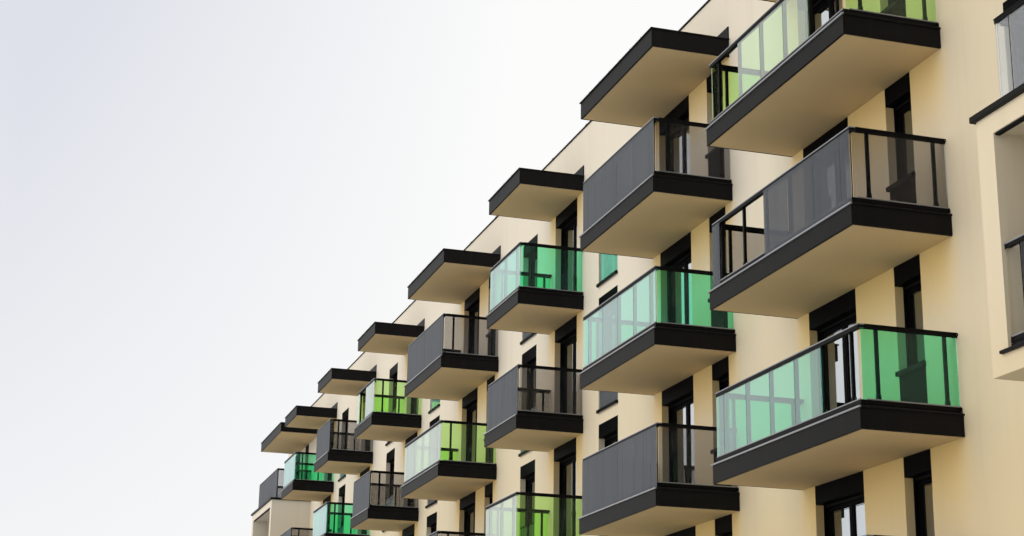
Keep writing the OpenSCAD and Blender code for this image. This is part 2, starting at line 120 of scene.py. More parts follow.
front_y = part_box("front_wall")[0].y
back_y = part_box("back_wall")[1].y
canopy_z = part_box("canopy_slabs")[0].z
roof_low, roof_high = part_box("roof_slab")
roof_z = roof_high.z
print("street face", round(front_y, 3), "back face", round(back_y, 3), "roof", round(roof_z, 3))

# %% [markdown]
# The photograph is taken from the street, close to the wall and looking up along it. Its
# lens and angles come from where the balcony edges meet when they are drawn on. A focal
# length of 1704 pixels on a picture 1024 pixels wide is a 60 mm lens on a 36 mm sensor.

# %% Camera
PICTURE_W = 1024
FOCAL_PX = 1704.37
SENSOR_MM = 36
SIGHT_END = 400
YAW = math.radians(17.11)
PITCH = math.radians(16.63)
ROLL = math.radians(0.909)
CAMERA_X = 21.5
CAMERA_FROM_WALL = 6.385
CAMERA_Z = 0.555


def camera_axes():
    level_reach = math.cos(PITCH)
    ahead = Vector((-math.cos(YAW) * level_reach, math.sin(YAW) * level_reach, math.sin(PITCH)))
    level = ahead.cross(Vector((0, 0, 1))).normalized()
    upright = level.cross(ahead)
    right = math.cos(ROLL) * level + math.sin(ROLL) * upright
    up = math.cos(ROLL) * upright - math.sin(ROLL) * level
    return right, up, -ahead


def make_camera():
    data = bpy.data.cameras.new("camera")
    data.sensor_width = SENSOR_MM
    data.lens = FOCAL_PX / PICTURE_W * SENSOR_MM
    data.clip_end = SIGHT_END
    camera = into_scene("camera", data)
    turn = Matrix(camera_axes()).transposed().to_4x4()
    place = Matrix.Translation((CAMERA_X, front_y - CAMERA_FROM_WALL, CAMERA_Z))
    camera.matrix_world = place @ turn
    bpy.context.scene.camera = camera
    print("lens", round(data.lens, 2), "mm at", [round(v, 3) for v in camera.location])


make_camera()

# %% [markdown]
# The sky, the finishes and the shader groups are all node trees. Each helper here adds a
# node, sets or links its sockets, and hands back what comes out. A plain number or colour
# is set on the socket itself, and anything else is linked to it.

# %% Helpers for node trees
BLACK = (0, 0, 0)
NOISE_ROUGHNESS = 0.6


def linear(red, green, blue):
    channels = []
    for value in (red, green, blue):
        share = value / 255
        channels.append(share / 12.92 if share <= 0.04045 else ((share + 0.055) / 1.055) ** 2.4)
    return channels


def put(socket, value):
    if isinstance(value, (int, float)):
        socket.default_value = value
    elif isinstance(value, (list, tuple)):
        socket.default_value = (*value[:3], 1)
    else:
        socket.id_data.links.new(value, socket)


def feed(node, **values):
    for label, value in values.items():
        put(node.inputs[label.replace("_", " ")], value)
    return node


def add(tree, kind, **values):
    return feed(tree.nodes.new("ShaderNode" + kind), **values)


def split(tree, vector):
    return add(tree, "SeparateXYZ", Vector=vector).outputs


def object_point(tree):
    return add(tree, "TexCoord").outputs["Object"]


def noise(tree, vector, scale, detail):
    node = add(tree, "TexNoise", Vector=vector, Scale=scale, Detail=detail)
    return feed(node, Roughness=NOISE_ROUGHNESS).outputs["Fac"]


def maths(tree, operation, *values):
    node = add(tree, "Math")
    node.operation = operation
    for socket, value in zip(node.inputs, values):
        put(socket, value)
    return node.outputs[0]


def times(tree, product, *values):
    for value in values:
        product = maths(tree, "MULTIPLY", product, value)
    return product


def ramp(tree, value, start, end, low=0.0, high=1.0):
    node = add(tree, "MapRange", Value=value, From_Min=start, From_Max=end)
    node.interpolation_type = "SMOOTHSTEP"
    return feed(node, To_Min=low, To_Max=high).outputs[0]


def mix_colour(tree, share, first, second):
    node = add(tree, "Mix")
    node.data_type = "RGBA"
    sockets = {socket.identifier: socket for socket in (*node.inputs, *node.outputs)}
    for label, value in (("Factor_Float", share), ("A_Color", first), ("B_Color", second)):
        put(sockets[label], value)
    return sockets["Result_Color"]


def mix_shaders(tree, share, first, second):
    node = add(tree, "MixShader", Fac=share)
    put(node.inputs[1], first)
    put(node.inputs[2], second)
    return node.outputs[0]


def new_material(name, roughness, metallic=0.0, specular=0.5):
    material = bpy.data.materials.new(name)
    material.use_nodes = True
    shader = material.node_tree.nodes["Principled BSDF"]
    feed(shader, Roughness=roughness, Metallic=metallic, Specular_IOR_Level=specular)
    return material, shader


# %% [markdown]
# An overcast sky lights the block evenly from all round. Rays that reach the eye straight,
# off a gloss or through glass see it white, and rays that light the walls see it a little
# dimmer. One broad, weak sun gives the balconies a soft shape. Reflections and glass don't
# see it, because it would show there as a bright disc with a hard rim.

# %% Sky, sun and floor
SKY_LIGHT = 0.76
SKY_LIGHT_COLOUR = (0.95, 0.99, 1.05)
SKY_PALE = (0.973, 0.973, 0.968)
SKY_DEEP = (0.730, 0.752, 0.815)
SKY_PALE_SIDE = 0.27
SKY_DEEPENING = 10.0
SUN_STRENGTH = 1.8
SUN_COLOUR = (1.0, 0.89, 0.70)
SUN_SPREAD = math.radians(75)
SUN_LEAN = math.radians(76)
SUN_TURN = math.radians(-4)
FLOOR_HALF = 240
FLOOR_COLOUR = linear(228, 227, 224)
FLOOR_ROUGHNESS = 0.9


# Along the street the seen sky deepens upwards, and over the block and the street it is pale.
def seen_sky_colour(tree):
    towards = split(tree, add(tree, "TexCoord").outputs["Generated"])
    aside = maths(tree, "ABSOLUTE", towards["Y"])
    along = maths(tree, "SUBTRACT", SKY_PALE_SIDE, aside)
    share = times(tree, along, times(tree, towards["Z"], SKY_DEEPENING))
    along.node.use_clamp = share.node.use_clamp = True
    return mix_colour(tree, share, SKY_PALE, SKY_DEEP)


def make_world():
    world = bpy.data.worlds.new("overcast sky")
    world.use_nodes = True
    tree = world.node_tree
    tree.nodes.clear()
    seen_sky = add(tree, "Background", Color=seen_sky_colour(tree))
    lighting_sky = add(tree, "Background", Color=SKY_LIGHT_COLOUR, Strength=SKY_LIGHT)
    ray = add(tree, "LightPath").outputs
    eye_or_gloss = maths(tree, "MAXIMUM", ray["Is Camera Ray"], ray["Is Glossy Ray"])
    seen = maths(tree, "MAXIMUM", eye_or_gloss, ray["Is Transmission Ray"])
    sky = mix_shaders(tree, seen, lighting_sky.outputs[0], seen_sky.outputs[0])
    add(tree, "OutputWorld", Surface=sky)
    bpy.context.scene.world = world


def make_sun():
    data = bpy.data.lights.new("soft sun", "SUN")
    data.energy = SUN_STRENGTH
    data.angle = SUN_SPREAD
    data.color = SUN_COLOUR
    sun = into_scene("soft sun", data)
    sun.rotation_euler = (SUN_LEAN, 0, SUN_TURN)
    sun.visible_glossy = False
    sun.visible_transmission = False


def to_object(bm, name, material):
    mesh = bpy.data.meshes.new(name)
    bm.to_mesh(mesh)
    bm.free()
    mesh.materials.append(material)
    return into_scene(name, mesh)


def make_floor():
    material, shader = new_material("Floor", FLOOR_ROUGHNESS)
    feed(shader, Base_Color=FLOOR_COLOUR)
    bm = bmesh.new()
    bmesh.ops.create_grid(bm, x_segments=1, y_segments=1, size=FLOOR_HALF)
    floor = to_object(bm, "floor", material)


make_world()
make_sun()
make_floor()
bpy.context.scene.view_settings.view_transform = "Standard"
print("sky", SKY_LIGHT, "sun", SUN_STRENGTH)

# %% [markdown]
# Several finishes share one effect, so each effect is a node group. Grain is the fine
# unevenness of a surface: it moves the colour a little and gives a height for a bump.
# Its noise is read at Object coordinates, and every object here sits at the origin, so
# one metre of noise is one metre of building.

# %% Shader group: grain
def new_socket(group, label, side):
    kind = "NodeSocketColor" if label == "Colour" else "NodeSocketFloat"
    return group.interface.new_socket(label, in_out=side, socket_type=kind)


def new_group(name, inputs, *outputs):
    group = bpy.data.node_groups.new(name, "ShaderNodeTree")
    for label, value in inputs.items():
        new_socket(group, label, "INPUT").default_value = value
    for label in outputs:
        new_socket(group, label, "OUTPUT")
    print("made group", name)
    given = group.nodes.new("NodeGroupInput").outputs
    return group, given, group.nodes.new("NodeGroupOutput")


def make_grain_group():
    group, given, result = new_group(
        "grain",
        {
            "Colour": (0.5, 0.5, 0.5, 1),
            "Grain Scale": 300.0,
            "Patch Scale": 0.8,
            "Grain Depth": 0.06,
            "Patch Depth": 0.06,
        },
        "Colour",
        "Height",
    )
    point = object_point(group)
    fine = noise(group, point, given["Grain Scale"], detail=3)
    broad = noise(group, point, given["Patch Scale"], detail=4)
    grain_dark = times(group, fine, given["Grain Depth"])
    patch_dark = times(group, broad, given["Patch Depth"])
    dark = maths(group, "ADD", grain_dark, patch_dark)
    colour = mix_colour(group, dark, given["Colour"], BLACK)
    feed(result, Colour=colour, Height=fine)
    return group


grain_group = make_grain_group()

# %% [markdown]
# Rain leaves faint upright streaks on walls and metal edges. Noise that is squeezed along
# X and Y and stretched along Z makes them. The group puts out a mask, which each material
# uses as strongly as its surface shows dirt.

# %% Shader group: rain streaks
STREAK_BAND = (0.50, 0.78)


def make_streak_group():
    scales = {"Width Scale": 9.0, "Length Scale": 0.35}
    group, given, result = new_group("rain streaks", scales, "Mask")
    width, length = given["Width Scale"], given["Length Scale"]
    stretch = add(group, "CombineXYZ", X=width, Y=width, Z=length)
    squeezed = add(group, "VectorMath")
    squeezed.operation = "MULTIPLY"
    put(squeezed.inputs[0], object_point(group))
    put(squeezed.inputs[1], stretch.outputs[0])
    lines = noise(group, squeezed.outputs[0], 1.0, detail=5)
    feed(result, Mask=ramp(group, lines, *STREAK_BAND))
    return group


streak_group = make_streak_group()

# %% [markdown]
# Dust settles on whatever faces up. The group reads the surface normal: where it points
# up, a noisy mask grows. It doesn't know where the camera is, so it stays put from every
# side.

# %% Shader group: settled dust
def make_dust_group():
    group, given, result = new_group("settled dust", {"Amount": 0.5, "Scale": 12.0}, "Mask")
    normal = split(group, add(group, "NewGeometry").outputs["Normal"])
    upward = maths(group, "MAXIMUM", normal["Z"], 0.0)
    patches = noise(group, object_point(group), given["Scale"], detail=5)
    feed(result, Mask=times(group, upward, patches, given["Amount"]))
    return group


dust_group = make_dust_group()

# %% [markdown]
# A small helper lays out the part that all opaque finishes share: the grain group feeds
# the base colour and a bump. Grain and patches are each given as how many to the metre
# and how dark, and the relief as the bump's strength and its height in metres. Streaks
# are given as a share and as how many to the metre across and down.

# %% Helper for opaque finishes
def use_group(tree, group, **values):
    node = add(tree, "Group")
    node.node_tree = group
    return feed(node, **values)


def grained(name, colour, roughness, grain, patch, relief, metallic=0.0, specular=0.5):
    material, shader = new_material(name, roughness, metallic, specular)
    tree = material.node_tree
    surface = use_group(tree, grain_group, Colour=colour)
    feed(surface, Grain_Scale=grain[0], Grain_Depth=grain[1])
    feed(surface, Patch_Scale=patch[0], Patch_Depth=patch[1])
    bump = add(tree, "Bump", Strength=relief[0], Distance=relief[1])
    feed(bump, Height=surface.outputs["Height"])
    feed(shader, Normal=bump.outputs["Normal"])
    return material, shader, surface.outputs["Colour"]


def streaks(tree, share, width, length):
    node = use_group(tree, streak_group, Width_Scale=width, Length_Scale=length)
    return times(tree, node.outputs["Mask"], share)


# %% [markdown]
# The walls are scraped render on insulation: a matt cream coat with a grain of one or two
# millimetres. The far and high parts of the front are painted a paler cream than the near and
# low parts, a painted glare of the white sky. Rain has left the faintest streaks, and splashes
# have dulled the lowest strip. Right below a balcony the wall is painted a deeper yellow, a
# painted warm bounce of light in the nook under the slab. Each of these is a mask from the
# place on the wall, and the masks mix the colours.

# %% Material: render on the walls
# The pale cream is a painted glare of the white sky.
CREAM_WARM = linear(221, 203, 166)
PAINTED_GLARE_CREAM = linear(234, 226, 212)
STREAK_CREAM = linear(190, 175, 148)
SPLASH_GREY = linear(150, 140, 122)
# The deep yellow is painted warm bounce light under the balconies.
PAINTED_BOUNCE_YELLOW = linear(242, 210, 138)
# Each turn from warm to the painted sky glare: where it starts and ends, and from what share to
# what share.
LOW_GLARE_TURN = (2.2, 3.8, 0.05, 0.43)
FAR_GLARE_TURN = (10.5, 8.0, 0.0, 0.5)
HIGH_GLARE_TURN = (4.3, 6.0, 0.0, 1.0)
STREAK_SHARE = 0.14
SPLASH_HIGH = 0.34
SPLASH_SHARE = 0.8
SPLASH_PATCHES = 5.0
BOUNCE_SHARE = 0.9
BOUNCE_DEPTH = 0.75
BOUNCE_EDGE = 0.12
BOUNCE_BEHIND = (0.25, 0.35)


# The painted warm bounce is strongest right below the balconies, column by column, and fades
# further down. The back wall has none of it.
def painted_bounce_mask(tree, place):
    slabs = solids("balcony_slabs")
    levels = sorted({round(low.z, 3) for low, high in slabs})
    spans = Counter(key(low.x, high.x) for low, high in slabs)
    columns = sorted(span for span, count in spans.items() if count > 1)
    marks = []
    for low_x, high_x in columns:
        marks += [(low_x - BOUNCE_EDGE, 0), (low_x + BOUNCE_EDGE, 1)]
        marks += [(high_x - BOUNCE_EDGE, 1), (high_x + BOUNCE_EDGE, 0)]
    start = marks[0][0]
    length = marks[-1][0] - start
    along = maths(tree, "MULTIPLY_ADD", place["X"], 1 / length, -start / length)
    bands = add(tree, "ValToRGB", Fac=along)
    stops = bands.color_ramp.elements
    stops.remove(stops[1])
    for number, (x, share) in enumerate(marks):
        stop = stops.new((x - start) / length) if number else stops[0]
        stop.color = (share, share, share, 1)
    drop = maths(tree, "SUBTRACT", canopy_z, place["Z"])
    below = maths(tree, "FLOORED_MODULO", drop, levels[1] - levels[0])
    near = ramp(tree, below, 0.0, BOUNCE_DEPTH, BOUNCE_SHARE, 0.0)
    street = ramp(tree, place["Y"], *(front_y + depth for depth in BOUNCE_BEHIND), 1.0, 0.0)
    print("kept colour under", len(columns), "columns of balconies")
    return times(tree, bands.outputs["Color"], near, street)


def make_stucco():
    material, shader, grainy = grained(
        "Stucco", CREAM_WARM, 0.92, (420, 0.08), (0.5, 0.05), (0.35, 0.0015), specular=0.25
    )
    tree = material.node_tree
    place = split(tree, object_point(tree))
    low_glare = ramp(tree, place["Z"], *LOW_GLARE_TURN)
    far_glare = ramp(tree, place["X"], *FAR_GLARE_TURN)
    high_glare = ramp(tree, place["Z"], *HIGH_GLARE_TURN)
    # This share is the painted sky glare, growing towards the far and high parts.
    share = maths(tree, "MULTIPLY_ADD", far_glare, high_glare, low_glare)
    cream = mix_colour(tree, share, CREAM_WARM, PAINTED_GLARE_CREAM)
    # Painted warm bounce light under the balconies mixes in here.
    colour_with_painted_light = mix_colour(tree, painted_bounce_mask(tree, place), cream, PAINTED_BOUNCE_YELLOW)
    feed(grainy.node, Colour=colour_with_painted_light)
    streaked = mix_colour(tree, streaks(tree, STREAK_SHARE, 7.0, 0.30), grainy, STREAK_CREAM)
    low_strip = ramp(tree, place["Z"], SPLASH_HIGH, 0.0)
    patches = noise(tree, object_point(tree), SPLASH_PATCHES, detail=5)
    splash = times(tree, low_strip, patches, SPLASH_SHARE)
    feed(shader, Base_Color=mix_colour(tree, splash, streaked, SPLASH_GREY))
    return material


stucco = make_stucco()
print("made", stucco.name)

# %% [markdown]
# The undersides of the balconies are smooth paint on concrete. They see the street and
# not the sky, so the photograph shows them as a warm tan. The paint itself is near the
# colour of the walls.

# %% Materials: soffit paint, concrete and other plain finishes
def make_plain(name, rgb, roughness, grain, patch, relief, metallic=0.0, specular=0.3):
    colour = linear(*rgb)
    material, shader, grainy = grained(
        name, colour, roughness, grain, patch, relief, metallic, specular
    )
    feed(shader, Base_Color=grainy)
    return material


# Each row: name, colour, roughness, grain, patches, relief.
PLAIN_FINISHES = (
    ("Soffit_paint", (215, 190, 144), 0.85, (120, 0.05), (1.3, 0.14), (0.2, 0.001)),
    ("Concrete", (176, 172, 164), 0.9, (90, 0.16), (1.1, 0.22), (0.4, 0.002)),
    ("Balcony_tiles", (150, 145, 138), 0.8, (150, 0.18), (2.2, 0.18), (0.3, 0.001)),
    ("Roof_membrane", (112, 112, 114), 0.9, (200, 0.25), (0.6, 0.2), (0.5, 0.002)),
    ("Gasket_rubber", (22, 22, 23), 0.75, (200, 0.1), (3.0, 0.1), (0.1, 0.0005)),
)
soffit_paint, concrete, paving, membrane, rubber = (make_plain(*row) for row in PLAIN_FINISHES)
print("plain finishes", len(PLAIN_FINISHES))

# %% [markdown]
# Rails, posts and folded edges are metal with a dark powder coat. Seen flat on the coat is
# near black. Seen along the wall a coat mirrors the sky and turns grey, so how much each
# one mirrors is set by its specular level: next to nothing for the rails, the window frames
# and the fascias, and plainly for the bare drip edges. Dust lightens what faces up.

# %% Materials: coated metal
DUST = linear(134, 130, 122)
COAT_STREAKS = 0.015
DULL_ROUGHER = 0.4


def make_coated(name, rgb, roughness, dust, specular, metallic):
    grain, patch, relief = (420, 0.12), (1.6, 0.18), (0.06, 0.0004)
    material, shader, grainy = grained(
        name, linear(*rgb), roughness, grain, patch, relief, metallic, specular
    )
    tree = material.node_tree
    settled = use_group(tree, dust_group, Amount=dust, Scale=9.0)
    dirt = streaks(tree, COAT_STREAKS, 16.0, 1.2)
    dull = maths(tree, "MAXIMUM", settled.outputs["Mask"], dirt)
    rougher = maths(tree, "MULTIPLY_ADD", dull, DULL_ROUGHER, roughness)
    feed(shader, Base_Color=mix_colour(tree, dull, grainy, DUST), Roughness=rougher)
    return material


# Each row: name, colour, roughness, dust, specular level, metallic.
COATED_METALS = (
    ("Anthracite_coat", (8, 8, 10), 0.5, 0.18, 0.09, 0.0),
    ("Folded_edge_metal", (28, 27, 27), 0.42, 0.35, 0.05, 0.0),
    ("Drip_edge_metal", (150, 151, 155), 0.26, 0.20, 0.5, 0.4),
    ("Window_frame_coat", (13, 13, 15), 0.45, 0.25, 0.02, 0.0),
    ("Entrance_door_coat", (30, 31, 34), 0.35, 0.25, 0.3, 0.0),
)
anthracite, edge_metal, lip_metal, frame_coat, door_coat_and_hall_shade = (
    make_coated(*row) for row in COATED_METALS
)
steel = make_plain(
    "Screw_steel", (200, 200, 202), 0.28, (500, 0.1), (4.0, 0.1), (0.05, 0.0003), 1.0, 0.5
)
print("coated metals", len(COATED_METALS), "and", steel.name)

# %% [markdown]
# The balcony glass is tinted right through, in green, lime and smoky grey. Each sheet is
# a closed solid, so light bends in at one face and out at the other, and takes on the
# tint. Seen along the street it mirrors the sky and looks cooler, so a coat comes in as the
# sheet slants away from the eye, and with it a second, cooler tint that is a painted
# reflection of the sky. A film of dust on the green and lime sheets adds a faint veil, and
# the film's aqua and pale tints are a painted sky reflection too. A coating against the sun
# makes the window panes mirror more. Light has to pass to the walls behind, so for rays from
# lamps and for soft bounced light the shader gives way to a nearly clear one.

# %% Materials: glass
SLANT = (0.35, 0.72)
FILM_ROUGHNESS = 0.4
PANE_PATCHES = 1.7
PANE_DEPTH = 0.08
SMOKE = (0.50, 0.49, 0.49)
CLEAR = (0.97, 0.96, 0.94)
SUN_COATED = (0.60, 0.67, 0.71)


def make_glass(name, tint_and_painted_sky_tint, ior, coat_ior, coat, shade, metallic=0.0, dust_film_and_sky_tint=None):
    material, shader = new_material(name, 0.0, metallic)
    tree = material.node_tree
    feed(shader, IOR=ior, Transmission_Weight=1.0, Coat_IOR=coat_ior, Coat_Roughness=0.0)
    if dust_film_and_sky_tint:
        feed(shader, Sheen_Weight=1.0, Sheen_Roughness=FILM_ROUGHNESS, Sheen_Tint=dust_film_and_sky_tint)
    angle = add(tree, "LayerWeight", Blend=0.5)
    slanted = ramp(tree, angle.outputs["Facing"], *SLANT)
    coated = maths(tree, "MULTIPLY_ADD", slanted, coat[1] - coat[0], coat[0])
    patches = noise(tree, object_point(tree), PANE_PATCHES, detail=3)
    uneven = times(tree, patches, PANE_DEPTH)
    # The slanted tint is a painted reflection of the sky.
    colour = mix_colour(tree, uneven, mix_colour(tree, slanted, *tint_and_painted_sky_tint), BLACK)
    feed(shader, Coat_Weight=coated, Base_Color=colour)
    clear = add(tree, "BsdfTransparent", Color=shade)
    ray = add(tree, "LightPath").outputs
    lighting = maths(tree, "MAXIMUM", ray["Is Shadow Ray"], ray["Is Diffuse Ray"])
    surface = mix_shaders(tree, lighting, shader.outputs[0], clear.outputs[0])
    feed(tree.nodes["Material Output"], Surface=surface)
    return material


# Each row: name, tint flat on and the painted sky tint slanted, IOR, the coat's IOR, its
# weight flat on and slanted, shade on what the glass lights, and then metallic and the dust
# film's tint, which is partly a painted sky reflection.
GLASSES = (
    ("Green_glass", ((0.26, 0.96, 0.60), (0.26, 0.80, 0.78)), 1.25, 3.2, (0.0, 1.0),
     (0.84, 0.96, 0.90), 0.0, (0.62, 1.0, 1.0)),
    ("Lime_glass", ((0.62, 0.98, 0.42), (0.85, 1.0, 0.72)), 1.25, 3.2, (0.0, 1.0),
     (0.94, 0.98, 0.88), 0.0, (0.85, 1.0, 0.95)),
    ("Grey_glass", (SMOKE, SMOKE), 1.25, 1.5, (0.0, 0.2), (0.84, 0.84, 0.84)),
    ("Pale_glass", ((0.90, 0.95, 1.0), (0.84, 0.93, 1.0)), 1.25, 2.5, (0.65, 0.5),
     (0.84, 0.90, 0.95)),
    ("Clear_glass", (CLEAR, CLEAR), 1.2, 1.5, (0.0, 0.1), (0.93, 0.94, 0.93)),
    ("Window_glass", (SUN_COATED, SUN_COATED), 1.75, 2.6, (1.0, 1.0), (0.5, 0.53, 0.55), 0.6),
)
green_glass, lime_glass, grey_glass, pale_glass, clear_glass, window_glass = (
    make_glass(*row) for row in GLASSES
)
print("kinds of glass", len(GLASSES))

# %% [markdown]
# The grey sheets have a fine metal mesh on their outer side. Straight on, the eye passes
# between its wires, and along the sheet the wires close up into a flat grey. Wires as thin
# as these can't be modelled, so the sheet's Alpha does it: Layer Weight says how slanted
# the view is, and two sine waves at Object coordinates draw the wires.

# %% Material: fine mesh
MESH_PITCH = 0.004
MESH_RELIEF = 0.06
MESH_STREAKS = 0.35
# How slanted the view is where the mesh starts to close and is closed, and its alpha there.
MESH_CLOSING = (0.26, 0.78, 0.04, 0.94)


def wire_wave(tree, value):
    return maths(tree, "SINE", times(tree, value, 2 * math.pi / MESH_PITCH))


def make_mesh_material():
    grey = linear(93, 97, 104)
    material, shader, grainy = grained(
        "Fine_mesh", grey, 0.6, (300, 0.10), (0.9, 0.06), (0.1, 0.0005), specular=0.1
    )
    tree = material.node_tree
    darker = streaks(tree, MESH_STREAKS, 26.0, 0.25)
    place = split(tree, object_point(tree))
    across = maths(tree, "ADD", place["X"], place["Y"])
    waves = maths(tree, "ADD", wire_wave(tree, across), wire_wave(tree, place["Z"]))
    wires = times(tree, waves, MESH_RELIEF / 2)
    slant = add(tree, "LayerWeight", Blend=0.5)
    closing = ramp(tree, slant.outputs["Facing"], *MESH_CLOSING)
    alpha = maths(tree, "ADD", closing, wires)
    feed(shader, Base_Color=mix_colour(tree, darker, grainy, BLACK), Alpha=alpha)
    return material


fine_mesh = make_mesh_material()
print("materials", len(bpy.data.materials))

# %% [markdown]
# Rolled bars and folded sheets have small round edges that catch the light. The frame's
# bars are sharp, so a merged copy of each set of bars is bevelled and shown in its place.
# The bevel is wide enough to show as one bright line and small enough to keep the size.
# A finish pairs a material with the name of a slot, and a piece without a bevel is given
# the width 0.

# %% Rounded copies of the bars and sheets
SHARP = math.radians(30)
FLAT = math.radians(1)
BEVEL = 0.002
FOLD_BEVEL = 0.0025
SLIM_BEVEL = 0.0015
SHEET_BEVEL = 0.0008
DARK = (anthracite, "anthracite")
FOLDED = (edge_metal, "zinc_edge")
BARE_HIGHLIGHT = (lip_metal, "zinc_edge")
FRAMES = (frame_coat, "frame_coating")
SCREWS = (steel, "zinc_edge")
ROOFING = (membrane, "concrete")
FRAME_NODES = (
    "balcony_door_frames",
    "narrow_window_frames",
    "french_window_frames",
    "back_window_frames",
)
FASCIAS = ("front_fascias", "side_fascias")
ROOF_EDGES = ("canopy_sheets", "canopy_flashings")
LEDGES = ("loggia_caps", "loggia_sills", "window_sills", "entrance_canopies")


def bevel(bm, edges, width, segments=1, clamp=False):
    bmesh.ops.bevel(
        bm,
        geom=edges,
        offset=width,
        offset_type="OFFSET",
        segments=segments,
        profile=0.5,
        affect="EDGES",
        material=-1,
        clamp_overlap=clamp,
    )


def soften(bm, width, segments):
    bmesh.ops.dissolve_limit(bm, angle_limit=FLAT, verts=bm.verts, edges=bm.edges)
    sharp = [edge for edge in bm.edges if edge.is_manifold and edge.calc_face_angle() > SHARP]
    bevel(bm, sharp, width, segments, clamp=True)


def to_piece(bm, name, finish, width=BEVEL, segments=1, replaced=()):
    if width:
        soften(bm, width, segments)
    material, slot = finish
    piece = to_object(bm, name, material)
    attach(piece, "root")
    if replaced:
        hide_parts(*replaced)
    print(name, len(piece.data.polygons), "faces")


def rounded(names, finish, width=BEVEL, segments=1):
    for name in names:
        to_piece(merged_mesh(name), name + "_rounded", finish, width, segments, [name])


rounded(("railing_posts", "french_window_rails"), DARK)
rounded(("front_handrails", "side_handrails"), DARK, width=0.004, segments=2)
rounded((*FASCIAS, *ROOF_EDGES, *LEDGES), FOLDED, FOLD_BEVEL)
rounded((*FRAME_NODES, "shutter_boxes", "under_window_panels"), FRAMES)
for glass in (green_glass, lime_glass, grey_glass, pale_glass):
    glass_node = glass.name.lower()
    rounded([glass_node], (glass, glass_node), SHEET_BEVEL)

# %% [markdown]
# The near box has pale glass round its terrace and clear glass in the loggia below. Both
# are sheets of one node, so the lower ones are told apart by their height.

# %% Clear sheets in the near loggia
near_cap_low = max(solids("loggia_caps"), key=lambda box: box[0].x)[0]
sheets = bpy.data.objects["pale_glass_rounded"].data
sheets.materials.append(clear_glass)
lower = [face for face in sheets.polygons if face.center.z < near_cap_low.z]
for face in lower:
    face.material_index = 1
print("clear faces", len(lower))

# %% [markdown]
# The small parts are mostly straight bars, strips and plates. One helper makes a bar from
# its lowest and highest corner, and another joins many of them into one softened mesh.
# Where they go is always measured from the solids that carry them, and most bite a
# millimetre into those.

# %% Helpers for bars
BITE = 0.001


def bar(bm, low, high):
    low, high = Vector(low), Vector(high)
    corners = bmesh.ops.create_cube(bm, size=1)["verts"]
    bmesh.ops.scale(bm, vec=high - low, verts=corners)
    bmesh.ops.translate(bm, vec=(low + high) / 2, verts=corners)
    return corners


def bars_piece(name, boxes, finish, width=BEVEL, segments=1, replaced=()):
    bm = bmesh.new()
    for low, high in boxes:
        bar(bm, low, high)
    to_piece(bm, name, finish, width, segments, replaced)


def out_from(low, high, start, end):
    if low.y < 0:
        return low.y - end, low.y - start
    return high.y + start, high.y + end


# %% [markdown]
# Under each row of glass runs a bottom rail of two profiles with a shadow groove between
# them. The frame holds it as one bar, so two thinner bars and a set-back core take its
# place.

# %% Bottom rails with a groove
GROOVE = 0.004


def grooved(name):
    inset = Vector((GROOVE, GROOVE, GROOVE))
    for low, high in solids(name):
        middle = (low.z + high.z) / 2
        yield low, (high.x, high.y, middle - GROOVE / 2)
        yield (low.x, low.y, middle + GROOVE / 2), high
        yield low + inset, high - inset


for rail_node in ("front_bottom_rails", "side_bottom_rails"):
    bars_piece(rail_node + "_grooved", grooved(rail_node), DARK, replaced=[rail_node])

# %% [markdown]
# A drip edge closes the top of each balcony's sheet-metal edge. It stands out a little
# past the sheet. Along the front it is bright bare metal, a painted highlight for the bright
# line in the photograph, and along the sides the same profile has the dark coat as painted
# shade. The canopies need none, because their top sheet stands out already.

# %% Drip edges
DRIP_OUT = 0.012
DRIP_HIGH = 0.014
DRIP_BEHIND = 0.004
DRIP_BEVEL = 0.003


def drip_edges():
    fronts, sides = [], []
    for low, high in solids("front_fascias"):
        if high.z > canopy_z:
            continue
        bottom, top = high.z - DRIP_HIGH, high.z + BITE
        out, behind = low.y - DRIP_OUT, low.y + DRIP_BEHIND
        fronts.append(((low.x - DRIP_OUT, out, bottom), (high.x + DRIP_OUT, behind, top)))
        for start, end in (
            (low.x - DRIP_OUT, low.x + DRIP_BEHIND),
            (high.x - DRIP_BEHIND, high.x + DRIP_OUT),
        ):
            sides.append(((start, behind, bottom), (end, front_y, top)))
    return fronts, sides


# The bright front drips are a painted highlight and the dark side drips painted shade.
highlighted_front_drips, shaded_side_drips = drip_edges()
bars_piece("front_drip_edges", highlighted_front_drips, BARE_HIGHLIGHT, DRIP_BEVEL, segments=2)
bars_piece("side_drip_edges", shaded_side_drips, FOLDED, DRIP_BEVEL, segments=2)

# %% [markdown]
# A handrail is a flat bar with a cover profile clipped over its top. Along the fronts the
# cover is bright bare metal that catches the sky, and its brightness is partly a painted
# highlight. On the sides it has the dark coat as painted shade, and all round the terraces on
# the two boxes it has the dark coat as well. Below the handrail and above the bottom rail, a
# glazing bead holds the sheets from outside, and the lower bead shows as a second bright line.

# %% Handrail covers and glazing beads
COVER_SIDE = 0.003
COVER_DROP = 0.006
COVER_HIGH = 0.004
RAIL_REACH = 0.8
BEAD_OUT = 0.0015
BEAD_DEEP = 0.005
BEAD_HIGH = 0.009
BEAD_SHORT = 0.004


